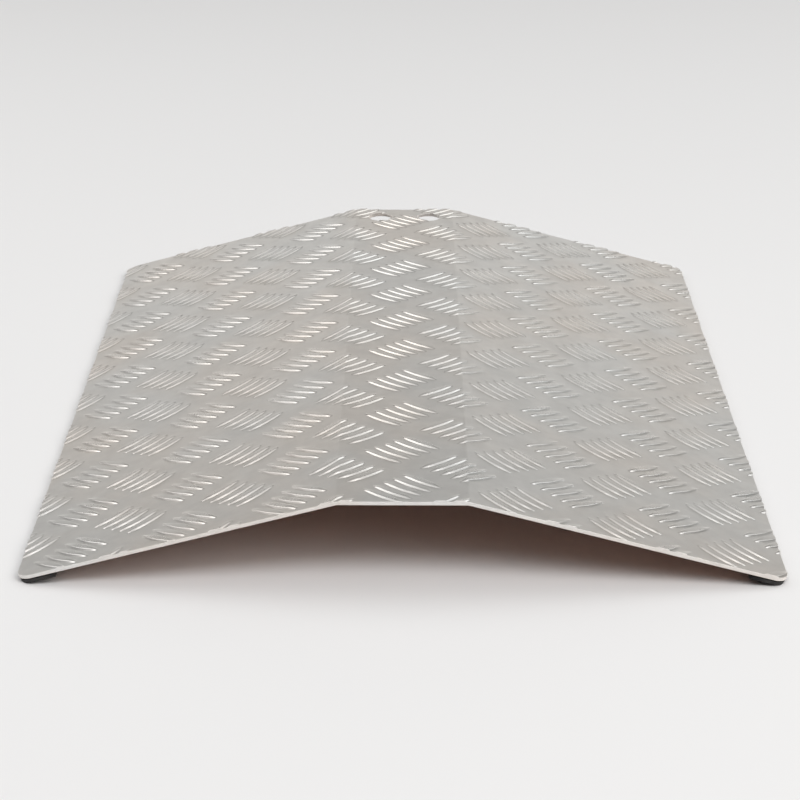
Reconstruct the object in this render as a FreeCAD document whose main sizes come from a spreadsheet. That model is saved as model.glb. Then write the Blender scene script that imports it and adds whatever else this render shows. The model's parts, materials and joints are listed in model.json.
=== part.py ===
"""Threshold bridging ramp: one sheet of five-bar aluminium tread plate, bent twice, on two rubber toe strips.

Millimetres. +X runs across the ramp, the way the wheels travel, and +Y runs along the two bend lines. +Z is up.
The origin is on the floor, at the centre of the ramp's footprint. The two carrying holes are at the +Y end.
"""

import FreeCAD, Part
import math
import os
import Sketcher

DIMENSIONS = {
    # The bent sheet.
    "span": 500.0,  # toe edge to toe edge, along X
    "ramp_width": 600.0,  # along Y
    "sheet_thickness": 2.5,  # without the bars
    "flat_width": 85.0,  # bend line to bend line, on the top face
    "slope_angle": 15.0,  # degrees, from the flat down to each toe
    "bend_radius": 6.0,  # inside the bends, on the underside
    "corner_radius": 10.0,  # of the four toe corners
    # The carrying holes in the flat.
    "hole_diameter": 20.0,
    "hole_spacing": 42.0,
    "hole_edge_distance": 21.5,  # hole centres to the +Y edge
    # The raised bars, laid out on the sheet before it is bent.
    "bar_length": 32.5,
    "bar_breadth": 5.2,  # at the middle of a bar, which is pointed at both ends
    "bar_height": 1.0,
    "bar_root": 1.0,  # how far a bar's solid reaches down into the sheet
    "bar_setback": 0.3,  # how far short of the sheet's edges the bars are worn
    "bar_angle": 39.3,  # degrees, between a bar and the X axis
    "bar_step_across": 6.4,  # from one bar of a group to the next, along X
    "bar_step_along": 5.3,  # the same, along Y
    "group_pitch_across": 74.1,
    "group_pitch_along": 60.6,
    "pattern_shift_across": -2.0,  # of a column of groups, from the sheet's middle along X
    "pattern_shift_along": -7.4,  # of the middle between two rows of groups, along Y
    "pattern_turn": 0.4,  # degrees, by which the sheet was cut askew of its pattern
    # The rubber strips under the toes, and the tape that holds them.
    "strip_width": 25.0,
    "strip_thickness": 2.5,
    "strip_inset": 0.5,  # from the sheet's edges
    "land_width": 3.0,  # the part of a strip's lower edge that stands flat on the floor
    "tape_thickness": 0.8,
    "tape_inset": 1.0,  # from the strip's edges
}

# Sizes that follow from the driving ones. A toe's height is that of its top edge above the floor.
DERIVED = {
    "rise": "(dims.span - dims.flat_width) / 2 * tan(dims.slope_angle)",
    "toe_height": "(dims.sheet_thickness + dims.tape_thickness + dims.strip_thickness)"
    " * cos(dims.slope_angle) - dims.strip_inset * sin(dims.slope_angle)"
    " - dims.land_width * sin(dims.slope_angle) * cos(dims.slope_angle)",
    "hole_row": "dims.ramp_width / 2 - dims.hole_edge_distance",
}
BARS_PER_GROUP = 5
H_AXIS, V_AXIS = -1, -2  # a sketch's own axes, as its constraints number them
START, END, CENTRE = 1, 2, 3  # the points of a line or circle, numbered in the same way
TOLERANCE = 0.01
FALLING, RISING = -1, 1  # which way a bar leans, going towards +X


def make_dimensions(doc):
    """The spreadsheet of driving dimensions, one alias to a row."""
    dims = doc.addObject("Spreadsheet::Sheet", "dims")
    for row, (alias, number) in enumerate(DIMENSIONS.items(), start=1):
        dims.set(f"A{row}", alias)
        dims.set(f"B{row}", str(number))
        dims.setAlias(f"B{row}", alias)
    doc.recompute()
    return dims


def make_derived(doc):
    """The sizes worked out from the spreadsheet."""
    derived = doc.addObject("App::VarSet", "derived")
    for name, formula in DERIVED.items():
        derived.addProperty("App::PropertyFloat", name)
        derived.setExpression(name, formula)
    doc.recompute()
    return derived


doc = FreeCAD.newDocument("threshold_ramp")
dims = make_dimensions(doc)
derived = make_derived(doc)
SLOPE = math.radians(dims.slope_angle)


def new_body(name):
    body = doc.addObject("PartDesign::Body", name)
    body.Label = name
    return body


def new_sketch(body, name, role):
    """A sketch on one of the body's own origin planes."""
    sketch = body.newObject("Sketcher::SketchObject", name)
    plane = next(p for p in body.Origin.OriginFeatures if p.Role == role)
    sketch.AttachmentSupport = (plane, [""])
    sketch.MapMode = "FlatFace"
    return sketch


def new_feature(body, kind, name, **formulas):
    feature = body.newObject(kind, name)
    for size, formula in formulas.items():
        feature.setExpression(size, formula)
    return feature


def add_outline(sketch, corners):
    """A closed chain of lines: line n starts at corner n."""
    count = len(corners)
    for n in range(count):
        sketch.addGeometry(Part.LineSegment(corners[n], corners[(n + 1) % count]))
    for n in range(count):
        sketch.addConstraint(Sketcher.Constraint("Coincident", n, END, (n + 1) % count, START))


def bind(sketch, kind, *references, to):
    """A dimension of the sketch, driven by a formula."""
    index = sketch.addConstraint(Sketcher.Constraint(kind, *references, 1.0))
    sketch.setExpression(f"Constraints[{index}]", to)


def pad_both_ways(body, sketch, name, length):
    pad = new_feature(body, "PartDesign::Pad", name, Length=length)
    pad.Profile = sketch
    pad.SideType = "Symmetric"
    doc.recompute()
    return pad


def cut_both_ways(body, sketch, name):
    """A pocket through everything on both sides of the sketch, which has to take material away."""
    before = body.Shape.Volume
    pocket = new_feature(body, "PartDesign::Pocket", name)
    pocket.Profile = sketch
    pocket.Type = "ThroughAll"
    pocket.SideType = "Symmetric"
    doc.recompute()
    assert body.Shape.Volume < before - TOLERANCE, f"{name} cut nothing"


def round_edges(body, feature, name, radius, chosen):
    """A fillet on the edges of the feature that chosen(edge) is true for."""
    edges = [f"Edge{n}" for n, edge in enumerate(feature.Shape.Edges, start=1) if chosen(edge)]
    fillet = new_feature(body, "PartDesign::Fillet", name, Radius=radius)
    fillet.Base = (feature, edges)
    doc.recompute()
    return fillet


def runs_along_y(edge):
    return abs(edge.BoundBox.YLength - edge.Length) < TOLERANCE


def is_toe_corner(edge):
    """Short edges at the outer ends of a toe, square to the slope."""
    box = edge.BoundBox
    return box.YLength < TOLERANCE and abs(box.Center.x) > dims.span / 2 - dims.corner_radius


def make_bent_layer(name, low, high, setback):
    """A layer of the bent sheet, holes and rounded corners included, which ends setback short of its edges.

    It lies between two heights above the sheet's top face.
    """
    body = new_body(name)
    half_span, half_flat = dims.span / 2, dims.flat_width / 2
    fold = [(-half_span, 0), (-half_flat, derived.rise), (half_flat, derived.rise), (half_span, 0)]
    top = [FreeCAD.Vector(x, z + dims.sheet_thickness, 0) for x, z in fold]
    bottom = [FreeCAD.Vector(x, z, 0) for x, z in reversed(fold)]
    section = new_sketch(body, name + "_section", "XZ_Plane")
    add_outline(section, top + bottom)
    # Two mirrored points on each face: (left point, right point, height above the sheet's top face).
    bend_points = (((1, START), (1, END), high), ((5, END), (5, START), low))
    toe_points = (((0, START), (2, END), high), ((6, END), (4, START), low))
    for left, right, _ in bend_points + toe_points:
        section.addConstraint(Sketcher.Constraint("Symmetric", *left, *right, V_AXIS))
    for left, right, level in bend_points:
        apart = f"dims.flat_width + 2 * ({level}) * tan(dims.slope_angle / 2)"
        bind(section, "DistanceX", *left, *right, to=apart)
        height = f"derived.toe_height + derived.rise + ({level})"
        bind(section, "DistanceY", H_AXIS, START, *left, to=height)
    for left, right, level in toe_points:
        across = f"({level}) * sin(dims.slope_angle) - ({setback}) * cos(dims.slope_angle)"
        bind(section, "DistanceX", *left, *right, to=f"dims.span + 2 * ({across})")
        height = f"({level}) * cos(dims.slope_angle) + ({setback}) * sin(dims.slope_angle)"
        bind(section, "DistanceY", H_AXIS, START, *left, to=f"derived.toe_height + {height}")
    sheet = pad_both_ways(body, section, name + "_sheet", f"dims.ramp_width - 2 * ({setback})")

    upper_level = sheet.Shape.BoundBox.ZMax

    def is_upper_bend(edge):
        return runs_along_y(edge) and edge.BoundBox.ZMin > upper_level - TOLERANCE

    def is_lower_bend(edge):
        between_toes = abs(edge.BoundBox.Center.x) < dims.flat_width
        return runs_along_y(edge) and between_toes and not is_upper_bend(edge)

    outside_radius = "dims.bend_radius + dims.sheet_thickness"
    feature = round_edges(body, sheet, name + "_inner_bends", f"{outside_radius} + ({low})", is_lower_bend)
    feature = round_edges(body, feature, name + "_outer_bends", f"{outside_radius} + ({high})", is_upper_bend)
    round_edges(body, feature, name + "_corners", f"dims.corner_radius - ({setback})", is_toe_corner)

    holes = new_sketch(body, name + "_holes", "XY_Plane")
    for x in (-dims.hole_spacing / 2, dims.hole_spacing / 2):
        centre = FreeCAD.Vector(x, derived.hole_row, 0)
        holes.addGeometry(Part.Circle(centre, FreeCAD.Vector(0, 0, 1), dims.hole_diameter / 2))
    holes.addConstraint(Sketcher.Constraint("Equal", 0, 1))
    holes.addConstraint(Sketcher.Constraint("Symmetric", 0, CENTRE, 1, CENTRE, V_AXIS))
    bind(holes, "DistanceX", 0, CENTRE, 1, CENTRE, to="dims.hole_spacing")
    bind(holes, "DistanceY", H_AXIS, START, 0, CENTRE, to="derived.hole_row")
    bind(holes, "Diameter", 0, to="dims.hole_diameter")
    cut_both_ways(body, holes, name + "_carrying_holes")
    return body


def plan_point(across, along):
    """Where a point of the pattern is, seen from above, once it is turned onto the sheet and bent with it."""
    turn = math.radians(dims.pattern_turn)
    x = across * math.cos(turn) - along * math.sin(turn)
    y = across * math.sin(turn) + along * math.cos(turn)
    half_flat = dims.flat_width / 2
    beyond_bend = abs(x) - half_flat
    if beyond_bend > 0:
        x = math.copysign(half_flat + beyond_bend * math.cos(SLOPE), x)
    return FreeCAD.Vector(x, y, 0)


def bar_footprint(across, along, lean):
    """A pointed oval between two arcs, which leans the given way."""
    angle = math.radians(dims.bar_angle)
    run = FreeCAD.Vector(math.cos(angle), lean * math.sin(angle), 0) * (dims.bar_length / 2)
    side = FreeCAD.Vector(-math.sin(angle), lean * math.cos(angle), 0) * (dims.bar_breadth / 2)
    centre = FreeCAD.Vector(across, along, 0)
    points = (centre - run, centre + side, centre + run, centre - side)
    tail, left, tip, right = (plan_point(p.x, p.y) for p in points)
    arcs = (Part.Arc(tail, left, tip), Part.Arc(tip, right, tail))
    return Part.Face(Part.Wire([arc.toShape() for arc in arcs]))


def bar_group(across, along, lean):
    """Five bars side by side, each a step further along the group's own diagonal."""
    bars = []
    for n in range(-(BARS_PER_GROUP // 2), BARS_PER_GROUP // 2 + 1):
        step_across, step_along = n * dims.bar_step_across, -lean * n * dims.bar_step_along
        bars.append(bar_footprint(across + step_across, along + step_along, lean))
    return bars


def bar_footprints():
    """Every bar that reaches the sheet. Rising groups sit half a pitch off the falling ones, both ways."""
    half_span, half_width = dims.span / 2, dims.ramp_width / 2
    outline = FreeCAD.BoundBox(-half_span, -half_width, 0, half_span, half_width, 0)
    columns = math.ceil(dims.span / 2 / dims.group_pitch_across) + 1
    rows = math.ceil(dims.ramp_width / 2 / dims.group_pitch_along) + 1
    bars = []
    for lean, offset in ((FALLING, 0), (RISING, 0.5)):
        for column in range(-columns, columns + 1):
            across = dims.pattern_shift_across + (column + offset) * dims.group_pitch_across
            for row in range(-rows, rows + 1):
                along = dims.pattern_shift_along + (row + 0.5 + offset) * dims.group_pitch_along
                bars += bar_group(across, along, lean)
    return [bar for bar in bars if outline.intersect(bar.BoundBox)]


def make_raised_bars():
    """The bars: upright prisms on the footprints, kept where they pass through the layer that holds bars."""
    footprints = doc.addObject("Part::Feature", "bar_footprints")
    footprints.Shape = Part.makeCompound(bar_footprints())
    prisms = doc.addObject("Part::Extrusion", "bar_prisms")
    prisms.Base = footprints
    prisms.DirMode = "Custom"
    prisms.Dir = FreeCAD.Vector(0, 0, 1)
    prisms.Solid = True
    prisms.setExpression("LengthFwd", "derived.toe_height + derived.rise + 2 * dims.bar_height")
    layer = make_bent_layer("bar_layer", "-dims.bar_root", "dims.bar_height", "dims.bar_setback")
    bars = doc.addObject("Part::Common", "raised_bars")
    bars.Base = prisms
    bars.Tool = layer
    doc.recompute()
    return bars


def make_deck_plate():
    """The bent sheet and its bars, which are rolled into it, as one solid."""
    plate = doc.addObject("Part::Fuse", "deck_plate")
    plate.Label = "deck_plate"
    plate.Base = make_bent_layer("plain_sheet", "-dims.sheet_thickness", "0", "0")
    plate.Tool = make_raised_bars()
    plate.Refine = True
    doc.recompute()
    return plate


def make_toe_layer(name, depth, inset, thickness):
    """A pad under the left toe: its top lies depth below the sheet's top face, inset from the sheet's edges."""
    body = new_body(name)
    up_slope = FreeCAD.Vector(math.cos(SLOPE), math.sin(SLOPE), 0) * dims.strip_width
    out_of_slope = FreeCAD.Vector(-math.sin(SLOPE), math.cos(SLOPE), 0) * dims.strip_thickness
    toe = FreeCAD.Vector(-dims.span / 2, 0, 0)
    section = new_sketch(body, name + "_section", "XZ_Plane")
    add_outline(section, [toe, toe + up_slope, toe + up_slope + out_of_slope, toe + out_of_slope])
    underside, upper_face, outer_end = 0, 2, 3
    across = f"dims.span / 2 - ({depth}) * sin(dims.slope_angle) - ({inset}) * cos(dims.slope_angle)"
    height = f"derived.toe_height - ({depth}) * cos(dims.slope_angle) + ({inset}) * sin(dims.slope_angle)"
    bind(section, "DistanceX", outer_end, START, H_AXIS, START, to=across)
    bind(section, "DistanceY", H_AXIS, START, outer_end, START, to=height)
    bind(section, "DistanceX", outer_end, START, outer_end, END, to=f"({thickness}) * sin(dims.slope_angle)")
    bind(section, "DistanceY", outer_end, END, outer_end, START, to=f"({thickness}) * cos(dims.slope_angle)")
    width = f"(dims.strip_width + 2 * (dims.strip_inset - ({inset})))"
    for outer, inner in (((underside, START), (underside, END)), ((upper_face, END), (upper_face, START))):
        bind(section, "DistanceX", *outer, *inner, to=f"{width} * cos(dims.slope_angle)")
        bind(section, "DistanceY", *outer, *inner, to=f"{width} * sin(dims.slope_angle)")
    pad = pad_both_ways(body, section, name + "_pad", f"dims.ramp_width - 2 * ({inset})")
    round_edges(body, pad, name + "_corners", f"dims.corner_radius - ({inset})", is_toe_corner)
    return body


def cut_floor_land(body):
    """Takes off what would reach below the floor, which leaves the strip's lower edge flat."""
    below = new_sketch(body, "land_cut", "XZ_Plane")
    outer, inner, depth = -dims.span, 0, -dims.strip_width
    corners = [(outer, depth), (inner, depth), (inner, 0), (outer, 0)]
    add_outline(below, [FreeCAD.Vector(x, z, 0) for x, z in corners])
    below.addConstraint(Sketcher.Constraint("PointOnObject", 2, START, H_AXIS))
    below.addConstraint(Sketcher.Constraint("PointOnObject", 2, END, H_AXIS))
    cut_both_ways(body, below, "floor_land")


def mirror_to_right(left, name):
    """The matching piece under the right toe."""
    right = doc.addObject("Part::Mirroring", name)
    right.Label = name
    right.Source = left
    right.Normal = FreeCAD.Vector(1, 0, 0)
    doc.recompute()
    return right


def make_toe_strips():
    """The two rubber strips and the two layers of tape between them and the sheet."""
    tape_inset = "dims.strip_inset + dims.tape_inset"
    tape = make_toe_layer("left_strip_tape", "dims.sheet_thickness", tape_inset, "dims.tape_thickness")
    under_tape = "dims.sheet_thickness + dims.tape_thickness"
    strip = make_toe_layer("left_toe_strip", under_tape, "dims.strip_inset", "dims.strip_thickness")
    cut_floor_land(strip)
    return [strip, tape, mirror_to_right(strip, "right_toe_strip"), mirror_to_right(tape, "right_strip_tape")]


def check_and_write(subparts):
    """Stops on a failed feature or a bad solid, then writes one file for each sub-part."""
    failed = [o.Name for o in doc.Objects if {"Invalid", "Error"} & set(o.State)]
    assert not failed, f"failed objects: {failed}"
    os.makedirs("parts", exist_ok=True)
    for part in subparts:
        shape = part.Shape
        assert not shape.isNull() and shape.isValid(), f"{part.Label} has no valid shape"
        assert len(shape.Solids) == 1, f"{part.Label} has {len(shape.Solids)} solids"
        shape.exportStep(f"parts/{part.Label}.step")
        box = shape.BoundBox
        size = f"{box.XLength:.2f} x {box.YLength:.2f} x {box.ZLength:.2f} mm"
        print(f"{part.Label}: {size}, {shape.Volume / 1000:.1f} cm3, {len(shape.Faces)} faces")


check_and_write([make_deck_plate(), *make_toe_strips()])
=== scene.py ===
"""Looks for the threshold bridging ramp.

The bent sheet, its rubber toe strips and their tape are built as finished meshes in place of the CAD nodes.
Each is first laid out on the flat sheet: u runs across it, v along it, and lift is the height above its top.
A bend then carries every point to its place on the ramp. Lengths are in metres.
"""

import json
import math

import bpy
import numpy as np
from mathutils import Matrix, Vector
from mathutils.geometry import delaunay_2d_cdt


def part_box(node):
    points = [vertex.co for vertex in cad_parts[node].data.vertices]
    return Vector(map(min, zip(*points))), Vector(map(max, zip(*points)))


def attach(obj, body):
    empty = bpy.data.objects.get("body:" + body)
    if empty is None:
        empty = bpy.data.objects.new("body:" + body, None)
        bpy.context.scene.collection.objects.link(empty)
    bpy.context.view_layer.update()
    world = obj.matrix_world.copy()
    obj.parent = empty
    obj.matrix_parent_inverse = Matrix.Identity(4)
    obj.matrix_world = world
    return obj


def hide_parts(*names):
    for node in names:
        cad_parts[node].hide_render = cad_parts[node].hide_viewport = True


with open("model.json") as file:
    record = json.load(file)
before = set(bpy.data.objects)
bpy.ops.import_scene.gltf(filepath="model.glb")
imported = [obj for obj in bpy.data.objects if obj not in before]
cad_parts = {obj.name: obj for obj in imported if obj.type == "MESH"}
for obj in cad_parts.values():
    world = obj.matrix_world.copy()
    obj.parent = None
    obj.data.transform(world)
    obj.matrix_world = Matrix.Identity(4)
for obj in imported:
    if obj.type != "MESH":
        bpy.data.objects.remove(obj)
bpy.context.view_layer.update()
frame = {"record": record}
MM = 0.001

# The sheet, as the design has it.
SHEET = 2.5 * MM
BAR_HEIGHT = 1.0 * MM
SLOPE = math.radians(15)
HALF_FLAT = 42.5 * MM
BEND_RADIUS = 8.5 * MM  # of the top face
CORNER_RADIUS = 10 * MM

# The same sheet, from the frame.
deck_low, deck_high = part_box("deck_plate")
HALF_WIDTH = (deck_high.y - deck_low.y) / 2
HALF_SPAN = (deck_high.x - deck_low.x) / 2
FLAT_LEVEL = deck_high.z - BAR_HEIGHT
HALF_SHEET = HALF_FLAT + (HALF_SPAN - HALF_FLAT) / math.cos(SLOPE)
mounts = {m["name"]: m for m in frame["record"]["mounts"]}
HOLES = [mounts[name]["pos_m"][:2] for name in ("left_carrying_hole", "right_carrying_hole")]
HOLE_RADIUS = mounts["left_carrying_hole"]["dims"]["r_mm"] * MM

# The raised bars: long narrow ovals in groups of five, which lean one way and the other by turns.
BAR_LENGTH = 32.5 * MM
BAR_BREADTH = 6.4 * MM
BAR_ANGLE = math.radians(39.3)
BAR_STEP = (6.4 * MM, 5.3 * MM)
GROUP_PITCH = (74.1 * MM, 60.6 * MM)
PATTERN_CENTRE = (-2.0 * MM, -7.4 * MM)
PATTERN_TURN = math.radians(0.4)  # the sheet was cut a little askew of its pattern
BARS_PER_GROUP = 5

# A bar's section: a flat top, a round shoulder and a steep flank.
SHOULDER = 1.0 * MM
FLANK_ANGLE = math.radians(45)
TAPER = 5  # the power of the distance from a bar's middle that its height runs out with

# The rubber strip under each toe, and the tape that holds it.
STRIP_DEPTH = (3.3 * MM, 5.8 * MM)
STRIP_WIDTH = 25 * MM
STRIP_INSET = 0.5 * MM
TAPE_DEPTH = (2.5 * MM, 3.3 * MM)
TAPE_WIDTH = 23 * MM
TAPE_INSET = 1.5 * MM

# How far their edges are rounded.
SHEET_RIM = 0.35 * MM
STRIP_RIM = 0.2 * MM
TAPE_RIM = 0.1 * MM

# How finely round parts are divided.
RIM_STEPS = 3
BEND_STEPS = 6
CORNER_STEPS = 12
HOLE_STEPS = 72
ARC_STEPS = 12
TIP_STEPS = 6
SHOULDER_STEPS = 4

# How far in from its corners a face's normals are taken, as a share of the way to its middle.
NORMAL_INSET = 0.05


def bend(u, lift):
    """Where points of the flat layout go in the ramp's section: x, z and the angle their normals turn by."""
    reach = BEND_RADIUS * math.tan(SLOPE / 2)
    start, end = HALF_FLAT - reach, HALF_FLAT + reach
    side, across = np.where(u < 0, -1.0, 1.0), np.abs(u)
    angle = SLOPE * np.clip((across - start) / (end - start), 0, 1)
    before, after = np.minimum(across, start), np.maximum(across - end, 0)
    x = before + (BEND_RADIUS + lift) * np.sin(angle) + after * np.cos(angle)
    z = FLAT_LEVEL - BEND_RADIUS + (BEND_RADIUS + lift) * np.cos(angle) - after * np.sin(angle)
    return side * x, z, side * angle


def bent_points(points):
    x, z, _ = bend(points[:, 0], points[:, 2])
    return np.stack([x, points[:, 1], z], -1)


def bent_normals(u, normals):
    """Normals of the flat layout, at places u across it, turned with the sheet."""
    angle = bend(u, 0)[2]
    x = normals[:, 0] * np.cos(angle) + normals[:, 2] * np.sin(angle)
    z = normals[:, 2] * np.cos(angle) - normals[:, 0] * np.sin(angle)
    turned = np.stack([x, normals[:, 1], z], -1)
    return turned / np.linalg.norm(turned, axis=-1, keepdims=True)


def bar_list():
    """Centre and direction of every bar that reaches the sheet, as rows of u, v, angle."""
    columns = math.ceil(HALF_SHEET / GROUP_PITCH[0]) + 1
    rows = math.ceil(HALF_WIDTH / GROUP_PITCH[1]) + 1
    reach = BAR_LENGTH / 2
    c, k = math.cos(PATTERN_TURN), math.sin(PATTERN_TURN)
    bars = []
    for lean, offset in ((-1, 0), (1, 0.5)):
        for column in range(-columns, columns + 1):
            for row in range(-rows, rows + 1):
                for n in range(-(BARS_PER_GROUP // 2), BARS_PER_GROUP // 2 + 1):
                    across = PATTERN_CENTRE[0] + (column + offset) * GROUP_PITCH[0] + n * BAR_STEP[0]
                    along = PATTERN_CENTRE[1] + (row + 0.5 + offset) * GROUP_PITCH[1] - lean * n * BAR_STEP[1]
                    u, v = across * c - along * k, across * k + along * c
                    if abs(u) < HALF_SHEET + reach and abs(v) < HALF_WIDTH + reach:
                        bars.append((u, v, lean * BAR_ANGLE + PATTERN_TURN))
    return np.array(bars)


# Plan of a bar's flat top: two arcs that meet at pointed tips. The flank widens it evenly all round.
SHOULDER_DROP = SHOULDER * (1 - math.cos(FLANK_ANGLE))
SHOULDER_REACH = SHOULDER * math.sin(FLANK_ANGLE)
FLANK_REACH = SHOULDER_REACH + (BAR_HEIGHT - SHOULDER_DROP) / math.tan(FLANK_ANGLE)
TOP_LENGTH, TOP_BREADTH = BAR_LENGTH / 2 - FLANK_REACH, BAR_BREADTH / 2 - FLANK_REACH
TOP_RADIUS = (TOP_LENGTH**2 + TOP_BREADTH**2) / (2 * TOP_BREADTH)
ARC_CENTRE = TOP_RADIUS - TOP_BREADTH


def along_and_across(u, v, bars):
    """Places of points on their bars: distance along the bar and across it from its middle."""
    du, dv = u - bars[:, 0], v - bars[:, 1]
    c, k = np.cos(bars[:, 2]), np.sin(bars[:, 2])
    return du * c + dv * k, dv * c - du * k


def from_top(s, w):
    """Distance of points from a bar's flat top, negative inside it, and the direction in which it grows."""
    along, across = np.abs(s), np.abs(w)
    past_tip = along * ARC_CENTRE > TOP_LENGTH * (across + ARC_CENTRE)
    away_s = np.where(past_tip, along - TOP_LENGTH, along)
    away_w = np.where(past_tip, across, across + ARC_CENTRE)
    away = np.maximum(np.hypot(away_s, away_w), 1e-9)
    direction = np.stack([np.sign(s) * away_s / away, np.sign(w) * away_w / away], -1)
    return away - np.where(past_tip, 0, TOP_RADIUS), direction


def bars_under(u, v, bars):
    """The bar that each point lies on, as an index into bars, or -1."""
    found = np.full(len(u), -1)
    order = np.argsort(v)
    ordered = v[order]
    for index, bar in enumerate(bars):
        first, last = np.searchsorted(ordered, (bar[1] - BAR_LENGTH / 2, bar[1] + BAR_LENGTH / 2))
        near = order[first:last]
        distance, _ = from_top(*along_and_across(u[near], v[near], bar[None]))
        found[near[distance < FLANK_REACH]] = index
    return found


def bar_surface(u, v, bars):
    """Lift and normal of points on their bars, whose height runs out towards the tips."""
    along, across = along_and_across(u, v, bars)
    distance, direction = from_top(along, across)
    on_shoulder = np.clip(distance, 0, SHOULDER_REACH)
    depth = np.sqrt(SHOULDER**2 - on_shoulder**2)
    drop = SHOULDER - depth + np.maximum(distance - SHOULDER_REACH, 0) * math.tan(FLANK_ANGLE)
    height = np.maximum(BAR_HEIGHT - drop, 0)
    reach = np.clip(along / (BAR_LENGTH / 2), -1, 1)
    share = 1 - np.abs(reach) ** TAPER
    lean = direction * (share * on_shoulder / depth)[:, None]
    lean[:, 0] += height * TAPER * np.sign(reach) * np.abs(reach) ** (TAPER - 1) / (BAR_LENGTH / 2)
    c, k = np.cos(bars[:, 2]), np.sin(bars[:, 2])
    normal = np.stack([lean[:, 0] * c - lean[:, 1] * k, lean[:, 0] * k + lean[:, 1] * c, np.ones(len(u))], -1)
    return height * share, normal


class Outline:
    """A rectangle of the flat layout with rounded corners and round holes."""

    def __init__(self, low_u, high_u, half_v, low_radius, high_radius, holes=(), hole_radius=0):
        self.low_u, self.high_u, self.half_v = low_u, high_u, half_v
        self.radii = (low_radius, high_radius)
        self.holes, self.hole_radius = holes, hole_radius

    def shrunk(self, by):
        radii = [max(radius - by, 0) for radius in self.radii]
        sides = (self.low_u + by, self.high_u - by, self.half_v - by)
        return Outline(*sides, *radii, self.holes, self.hole_radius + by)

    def loops(self):
        """Its closed lines, each a list of points."""
        corners = []
        for quarter in range(4):
            right, up = quarter in (0, 3), quarter in (0, 1)
            radius = self.radii[right]
            centre_u = self.high_u - radius if right else self.low_u + radius
            centre_v = (self.half_v - radius) * (1 if up else -1)
            steps = CORNER_STEPS if radius else 0
            for n in range(steps + 1):
                angle = math.pi / 2 * (quarter + n / max(steps, 1))
                corners.append((centre_u + radius * math.cos(angle), centre_v + radius * math.sin(angle)))
        turns = [2 * math.pi * n / HOLE_STEPS for n in range(HOLE_STEPS)]
        r = self.hole_radius
        rounds = [[(u + r * math.cos(t), v + r * math.sin(t)) for t in turns] for u, v in self.holes]
        return [corners, *rounds]

    def contains(self, u, v):
        radius = np.where(u < (self.low_u + self.high_u) / 2, *self.radii)
        du = np.maximum(np.maximum(self.low_u + radius - u, u - self.high_u + radius), 0)
        dv = np.maximum(np.abs(v) - self.half_v + radius, 0)
        inside = np.hypot(du, dv) <= radius + 1e-9
        for hole in self.holes:
            inside &= np.hypot(u - hole[0], v - hole[1]) > self.hole_radius
        return inside


class Layout:
    """Points of the flat layout and the lines between them that its faces must keep."""

    def __init__(self):
        self.points = []
        self.lines = []

    def add(self, u, v):
        self.points.append(Vector((u, v)))
        return len(self.points) - 1

    def chain(self, ids):
        self.lines += list(zip(ids[:-1], ids[1:]))

    def loop(self, corners):
        ids = [self.add(*corner) for corner in corners]
        self.chain(ids + ids[:1])

    def bar(self, u, v, angle):
        """Closed lines round a bar's flat top, at steps down its shoulder and at its foot."""
        turn = Matrix.Rotation(angle, 2)
        sweep = math.asin(TOP_LENGTH / TOP_RADIUS)
        down_shoulder = [SHOULDER_REACH * n / SHOULDER_STEPS for n in range(SHOULDER_STEPS + 1)]
        for distance in (*down_shoulder, FLANK_REACH):
            loop = []
            for end in (1, -1):
                for n in range(1, ARC_STEPS):
                    t = sweep * (2 * n / ARC_STEPS - 1)
                    radius = TOP_RADIUS + distance
                    loop.append((end * radius * math.sin(t), end * (radius * math.cos(t) - ARC_CENTRE)))
                tip_steps = TIP_STEPS if distance else 0
                for n in range(tip_steps + 1):
                    t = sweep + (math.pi - 2 * sweep) * n / max(tip_steps, 1)
                    loop.append((end * (TOP_LENGTH + distance * math.sin(t)), end * distance * math.cos(t)))
            self.loop([tuple(Vector((u, v)) + turn @ Vector(place)) for place in loop])

    def faces(self, outline):
        """Points and triangles inside the outline, and the given points that each point stands for."""
        points, _, faces, given, *_ = delaunay_2d_cdt(self.points, self.lines, [], 0, 1e-7, True)
        points, faces = np.array([tuple(p) for p in points]), np.array(faces)
        return points, faces[outline.contains(*points[faces].mean(1).T)], given


def facet_normals(points, faces):
    """The normal of each triangle."""
    a, b, c = (points[faces[:, n]] for n in range(3))
    normals = np.cross(b - a, c - a)
    return normals / np.maximum(np.linalg.norm(normals, axis=-1, keepdims=True), 1e-20)


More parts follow.
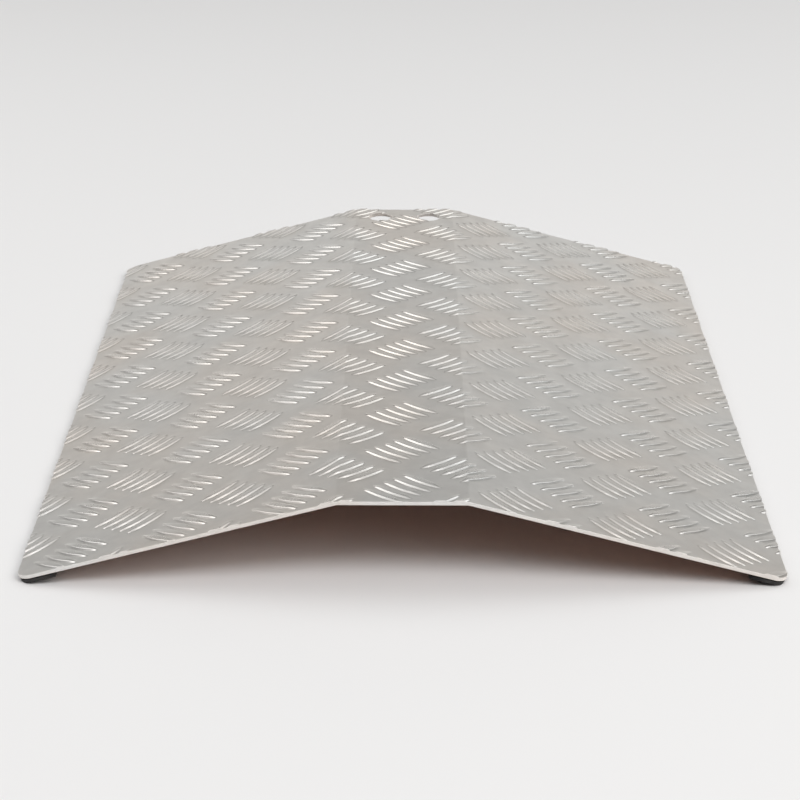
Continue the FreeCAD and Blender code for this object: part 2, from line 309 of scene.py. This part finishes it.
def slab(name, outline, top, underside, rim, lines, bars=None):
    """A slab of the flat layout from its top lift down to underside(u), with rounded rims, bent into place.

    lines are the places across it where it bends or its underside changes slope.
    """
    inner = outline.shrunk(rim)
    layout = Layout()
    for corners in inner.loops():
        layout.loop(corners)
    for u in lines:
        layout.loop([(u, -outline.half_v - rim), (u, outline.half_v + rim)])
    if bars is not None:
        for bar in bars:
            layout.bar(*bar)
    flat, top_faces, _ = layout.faces(inner)
    used = np.unique(top_faces)
    flat, top_faces = flat[used], np.searchsorted(used, top_faces)
    lift = np.full(len(flat), float(top))
    normals = np.repeat(facet_normals(np.column_stack([flat, lift]), top_faces), 3, axis=0)
    if bars is not None:
        under = bars_under(*flat.T, bars)
        lift[under >= 0] += bar_surface(*flat[under >= 0].T, bars[under[under >= 0]])[0]
        centres = flat[top_faces].mean(1)
        face_bar = np.repeat(bars_under(*centres.T, bars), 3)
        corners = flat[top_faces.ravel()]
        sampled = corners * (1 - NORMAL_INSET) + np.repeat(centres, 3, axis=0) * NORMAL_INSET
        raised = face_bar >= 0
        normals[raised] = bar_surface(*sampled[raised].T, bars[face_bar[raised]])[1]

    # The rim: rings of points from the edge of the top, out and down and back in under the slab.
    edges = np.concatenate([top_faces[:, [0, 1]], top_faces[:, [1, 2]], top_faces[:, [2, 0]]])
    known = {tuple(edge) for edge in edges.tolist()}
    edges = np.array(sorted(edge for edge in known if edge[::-1] not in known))
    border = np.unique(edges)
    edges = np.searchsorted(border, edges)
    runs = flat[border][edges[:, 1]] - flat[border][edges[:, 0]]
    outwards = np.zeros((len(border), 2))
    for end in (0, 1):
        np.add.at(outwards, edges[:, end], np.column_stack([runs[:, 1], -runs[:, 0]]))
    outwards /= np.linalg.norm(outwards, axis=-1, keepdims=True)
    quarter = np.linspace(0, math.pi / 2, RIM_STEPS + 1)
    angles = np.concatenate([quarter, quarter + math.pi / 2])
    rings, facing = [], []
    for n, angle in enumerate(angles):
        place = flat[border] + outwards * rim * math.sin(angle)
        low = underside(place[:, 0]) + rim * (1 + math.cos(angle))
        height = lift[border] - rim * (1 - math.cos(angle)) if n <= RIM_STEPS else low
        rings.append(np.column_stack([place, height]))
        facing.append(np.column_stack([outwards * math.sin(angle), np.full(len(border), math.cos(angle))]))
    points = np.concatenate([np.column_stack([flat, lift]), *rings[1:]])

    def ring(n, ids):
        return border[ids] if n == 0 else len(flat) + (n - 1) * len(border) + ids

    faces, loop_normals = [top_faces.tolist()], [normals]
    for n in range(len(angles) - 1):
        a, b = edges.T
        quads = np.column_stack([ring(n, a), ring(n + 1, a), ring(n + 1, b), ring(n, b)])
        faces.append(quads.tolist())
        corners = [facing[n][a], facing[n + 1][a], facing[n + 1][b], facing[n][b]]
        loop_normals.append(np.stack(corners, 1).reshape(-1, 3))

    # The underside, on the last ring's points.
    below = Layout()
    for place in flat[border]:
        below.add(*place)
    below.lines = edges.tolist()
    for u in lines:
        ends = np.flatnonzero(np.abs(flat[border][:, 0] - u) < 1e-6)
        below.lines += [tuple(ends.tolist())] if len(ends) == 2 else []
    _, low_faces, given = below.faces(inner)
    source = np.array([min(ids) if ids else -1 for ids in given])
    low_faces = ring(len(angles) - 1, source[low_faces[:, ::-1]])
    faces.append(low_faces.tolist())
    loop_normals.append(np.repeat(facet_normals(points, low_faces), 3, axis=0))

    all_faces = [face for group in faces for face in group]
    loop_points = np.array([i for face in all_faces for i in face])
    turned = bent_normals(points[loop_points, 0], np.concatenate(loop_normals))
    mesh = bpy.data.meshes.new(name)
    mesh.from_pydata(bent_points(points).tolist(), [], all_faces)
    mesh.polygons.foreach_set("use_smooth", np.ones(len(all_faces), bool))
    mesh.normals_split_custom_set(turned.tolist())
    cut = np.zeros(len(points))
    cut[len(flat):len(points) - len(border)] = 1
    raised_share = np.maximum(points[:, 2], 0) / BAR_HEIGHT
    for label, values in (("lift", raised_share), ("cut", cut)):
        mesh.attributes.new(label, "FLOAT", "POINT").data.foreach_set("value", values.astype(np.float32))
    obj = bpy.data.objects.new(name, mesh)
    bpy.context.scene.collection.objects.link(obj)
    return obj


def bend_lines():
    width = 2 * BEND_RADIUS * math.tan(SLOPE / 2)
    shares = [n / BEND_STEPS - 0.5 for n in range(BEND_STEPS + 1)]
    return [side * (HALF_FLAT + width * share) for side in (-1, 1) for share in shares]


def add_node(tree, kind, inputs, **settings):
    """A shader node's first output. Its inputs are set to values or linked from other nodes' outputs."""
    node = tree.nodes.new("ShaderNode" + kind)
    for setting, value in settings.items():
        setattr(node, setting, value)
    for name, value in inputs.items():
        if isinstance(value, bpy.types.NodeSocket):
            tree.links.new(value, node.inputs[name])
        else:
            node.inputs[name].default_value = value
    return node.outputs[0]


def calculated(tree, operation, a, b):
    return add_node(tree, "Math", {0: a, 1: b}, operation=operation)


def remapped(tree, source, low, high, to_low, to_high):
    """source taken smoothly from one range to another."""
    limits = {"From Min": low, "From Max": high, "To Min": to_low, "To Max": to_high}
    return add_node(tree, "MapRange", {"Value": source, **limits}, interpolation_type="SMOOTHSTEP")


def patches(tree, size, low, high, stretch=(1, 1, 1)):
    """A number that wanders between low and high over patches of about this size, stretched along an axis."""
    coordinates = tree.nodes.new("ShaderNodeTexCoord").outputs["Object"]
    squeeze = tuple(1 / amount for amount in stretch)
    place = add_node(tree, "VectorMath", {0: coordinates, 1: squeeze}, operation="MULTIPLY")
    noise = add_node(tree, "TexNoise", {"Vector": place, "Scale": 1 / size, "Detail": 3})
    return remapped(tree, noise, 0.3, 0.7, low, high)


def blended(tree, share, low_colour, high_colour):
    """A colour between two others."""
    ramp = tree.nodes.new("ShaderNodeValToRGB")
    for stop, colour in zip(ramp.color_ramp.elements, (low_colour, high_colour)):
        stop.color = (*colour, 1)
    tree.links.new(share, ramp.inputs[0])
    return ramp.outputs[0]


def point_value(tree, label):
    """The value of a mesh attribute."""
    node = tree.nodes.new("ShaderNodeAttribute")
    node.attribute_name = label
    return node.outputs["Fac"]


def material(name):
    made = bpy.data.materials.new(name)
    made.use_nodes = True
    return made, made.node_tree, made.node_tree.nodes["Principled BSDF"]


def finish_material(tree, shader, colour, roughness, heights):
    """Links a colour and a roughness, and bumps of the given (height pattern, depth in metres)."""
    tree.links.new(colour, shader.inputs["Base Color"])
    tree.links.new(roughness, shader.inputs["Roughness"])
    normal = None
    for pattern, depth in heights:
        bump = tree.nodes.new("ShaderNodeBump")
        bump.inputs["Distance"].default_value = depth
        tree.links.new(pattern, bump.inputs["Height"])
        if normal:
            tree.links.new(normal, bump.inputs["Normal"])
        normal = bump.outputs[0]
    tree.links.new(normal, shader.inputs["Normal"])


# Mill-finish aluminium: cloudy patches, a fine grain, bar tops rubbed smoother, sawn edges painted paler as a
# highlight, and painted shade on the underside.
plate_material, tree, shader = material("tread_plate")
clouds = patches(tree, 90 * MM, 0, 1)
blotches = patches(tree, 9 * MM, 0.97, 1.03)
tone = blended(tree, clouds, (0.825, 0.778, 0.728), (0.8, 0.79, 0.768))
worn = remapped(tree, point_value(tree, "lift"), 0.6, 1, 0, 1)
sawn = point_value(tree, "cut")
# Painted highlight: sawn faces are painted 12 % paler for the light they catch. Their rougher, less metallic
# finish, set below, is their own.
blotches_and_edge_highlight = calculated(tree, "ADD", blotches, calculated(tree, "MULTIPLY", sawn, 0.12))
tone = add_node(tree, "VectorMath", {0: tone, "Scale": blotches_and_edge_highlight}, operation="SCALE")
# Painted shade: faces that look down are painted darker and browner, standing in for the shade under the
# arch.
upwards = add_node(tree, "SeparateXYZ", {0: tree.nodes.new("ShaderNodeNewGeometry").outputs["Normal"]})
underneath = remapped(tree, upwards.node.outputs["Z"], -0.5, -0.9, 0, 1)
painted_underside_shade = blended(tree, underneath, (1, 1, 1), (0.75, 0.52, 0.44))
tone = add_node(tree, "VectorMath", {0: tone, 1: painted_underside_shade}, operation="MULTIPLY")
roughness = calculated(tree, "ADD", patches(tree, 25 * MM, 0.31, 0.36), patches(tree, 1.5 * MM, -0.02, 0.02))
roughness = calculated(tree, "SUBTRACT", roughness, calculated(tree, "MULTIPLY", worn, 0.04))
roughness = calculated(tree, "ADD", roughness, calculated(tree, "MULTIPLY", sawn, 0.2))
tree.links.new(remapped(tree, sawn, 0, 1, 1, 0.4), shader.inputs["Metallic"])
waves = patches(tree, 40 * MM, 0, 1)
grain = patches(tree, 0.5 * MM, 0, 1, (1, 6, 1))
finish_material(tree, shader, tone, roughness, ((waves, 0.1 * MM), (grain, 0.004 * MM)))

# Black rubber with a fine pebbled skin and a little pale dust.
rubber_material, tree, shader = material("strip_rubber")
dust = patches(tree, 12 * MM, 0, 1, (1, 3, 1))
tone = blended(tree, dust, (0.022, 0.021, 0.021), (0.036, 0.035, 0.034))
pebbles = patches(tree, 0.6 * MM, 0, 1)
finish_material(tree, shader, tone, patches(tree, 6 * MM, 0.55, 0.72), ((pebbles, 0.03 * MM),))

# Dark foam with open cells along its edge.
foam_material, tree, shader = material("tape_foam")
tone = blended(tree, patches(tree, 5 * MM, 0, 1), (0.025, 0.025, 0.027), (0.045, 0.044, 0.043))
cells = patches(tree, 0.3 * MM, 0, 1)
finish_material(tree, shader, tone, patches(tree, 2 * MM, 0.82, 0.98), ((cells, 0.06 * MM),))


def sheet_underside(u):
    return np.full_like(u, -SHEET)


bars = bar_list()
outline = Outline(-HALF_SHEET, HALF_SHEET, HALF_WIDTH, CORNER_RADIUS, CORNER_RADIUS, HOLES, HOLE_RADIUS)
deck = slab("tread_sheet", outline, 0, sheet_underside, SHEET_RIM, bend_lines(), bars)
deck.data.materials.append(plate_material)
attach(deck, "root")
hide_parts("deck_plate")


def toe_outline(side, inset, width):
    """The outline of a layer under one toe, which ends inset short of the sheet's edges."""
    low, high, half_v = HALF_SHEET - inset - width, HALF_SHEET - inset, HALF_WIDTH - inset
    radius = CORNER_RADIUS - inset
    return Outline(low, high, half_v, 0, radius) if side > 0 else Outline(-high, -low, half_v, radius, 0)


def strip_underside(u):
    """The strip's flat underside, which the floor cuts off along the toe."""
    on_floor = -bend(u, 0)[1] / math.cos(SLOPE)
    return np.maximum(-STRIP_DEPTH[1], on_floor)


def tape_underside(u):
    return np.full_like(u, -TAPE_DEPTH[1])


# How far in from the sheet's toe a strip still touches the floor.
toe_level = bend(HALF_SHEET, 0)[1]
strip_landing = (STRIP_DEPTH[1] * math.cos(SLOPE) - toe_level) / math.sin(SLOPE)

for side, word in ((-1, "left"), (1, "right")):
    outline = toe_outline(side, STRIP_INSET, STRIP_WIDTH)
    heel = side * (HALF_SHEET - strip_landing)
    strip = slab(f"{word}_rubber_strip", outline, -STRIP_DEPTH[0], strip_underside, STRIP_RIM, [heel])
    strip.data.materials.append(rubber_material)
    outline = toe_outline(side, TAPE_INSET, TAPE_WIDTH)
    tape = slab(f"{word}_foam_tape", outline, -TAPE_DEPTH[0], tape_underside, TAPE_RIM, [])
    tape.data.materials.append(foam_material)
    for piece, node, kind in ((strip, "toe_strip", "strip_rubber"), (tape, "strip_tape", "tape_foam")):
        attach(piece, "root")
        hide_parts(f"{word}_{node}")

# Stage, light and camera.
FLOOR_REACH = 12
floor_mesh = bpy.data.meshes.new("floor")
corners = ((-1, -1), (1, -1), (1, 1), (-1, 1))
floor_corners = [(side * FLOOR_REACH, end * FLOOR_REACH, 0) for side, end in corners]
floor_mesh.from_pydata(floor_corners, [], [(0, 1, 2, 3)])
floor = bpy.data.objects.new("floor", floor_mesh)
bpy.context.scene.collection.objects.link(floor)
floor_material, tree, shader = material("floor")
shader.inputs["Base Color"].default_value = (0.84, 0.84, 0.845, 1)
shader.inputs["Roughness"].default_value = 1
shader.inputs["Specular IOR Level"].default_value = 0
floor_mesh.materials.append(floor_material)


def softbox(name, bearing, elevation, distance, width, height, radiance, colour):
    """A light with its direction from the ramp and its size in degrees. Bearings run from +X towards +Y."""
    around, up = math.radians(bearing), math.radians(elevation)
    towards = Vector((math.cos(up) * math.cos(around), math.cos(up) * math.sin(around), math.sin(up)))
    data = bpy.data.lights.new(name, "AREA")
    data.shape = "RECTANGLE"
    data.size = 2 * distance * math.tan(math.radians(width / 2))
    data.size_y = 2 * distance * math.tan(math.radians(height / 2))
    data.energy = radiance * math.pi * data.size * data.size_y
    data.color = colour
    light = bpy.data.objects.new(name, data)
    light.location = towards * distance
    light.rotation_euler = towards.to_track_quat("Z", "Y").to_euler()
    bpy.context.scene.collection.objects.link(light)
    return light


softbox("left_box", 163, 42, 2.6, 38, 36, 1.45, (1, 0.99, 0.98))
right_box = softbox("right_box", 322, 34, 4.5, 34, 26, 3.4, (1, 0.96, 0.92))
right_box.visible_glossy = False  # the surroundings hold a dimmer box in its place for the plate to reflect
softbox("right_rear_box", 24, 42, 3.5, 30, 34, 1.25, (0.96, 0.99, 1))
softbox("front_box", 284, 59, 4.5, 62, 22, 2.6, (0.99, 0.99, 1))

# The surroundings: how far each direction lies within a band, and the bands' products at their brightness.
world = bpy.data.worlds.new("studio")
bpy.context.scene.world = world
world.use_nodes = True
tree = world.node_tree
direction = tree.nodes.new("ShaderNodeTexCoord").outputs["Generated"]
x, y, z = add_node(tree, "SeparateXYZ", {0: direction}).node.outputs
behind = remapped(tree, y, 0, 0.6, 0, 1)
centre = remapped(tree, y, 0.78, 0.93, 0, 1)
in_front = remapped(tree, y, -0.2, -0.4, 0, 1)
low_down = remapped(tree, z, 0.15, 0.4, 1, 0)
above_floor = remapped(tree, z, 0.3, 0.45, 0, 1)
middle = calculated(tree, "SUBTRACT", remapped(tree, z, 0.35, 0.65, 1, 0), low_down)
high_up = remapped(tree, z, 0.5, 0.95, 0, 1)
sideways = remapped(tree, calculated(tree, "ABSOLUTE", x, 0), 0.5, 0.9, 0, 1)
right_half = remapped(tree, x, 0, 0.5, 0, 1)
far_right = remapped(tree, x, 0.4, 0.6, 0, 1)
strength = 0
for level, *shares in (
    (0.36, behind, low_down),
    (0.08, behind, middle),
    (0.06, behind, right_half),
    (0.53, centre),
    (0.38, sideways, middle),
    (0.63, high_up),
    (0.85, far_right, in_front, above_floor),
):
    for share in shares:
        level = calculated(tree, "MULTIPLY", level, share)
    strength = calculated(tree, "ADD", strength, level)
background = tree.nodes["Background"]
tree.links.new(strength, background.inputs["Strength"])
background.inputs["Color"].default_value = (1, 0.99, 0.97, 1)

camera_data = bpy.data.cameras.new("camera")
camera_data.lens = 95.22
camera = bpy.data.objects.new("camera", camera_data)
camera.location = (0.003, -1.5108, 0.6471)
turn = Matrix.Rotation(math.radians(0.22), 4, "Z") @ Matrix.Rotation(math.radians(90 - 23.097), 4, "X")
camera.rotation_euler = (turn @ Matrix.Rotation(math.radians(0.07), 4, "Z")).to_euler()
bpy.context.scene.collection.objects.link(camera)
bpy.context.scene.camera = camera
bpy.context.scene.view_settings.view_transform = "Standard"
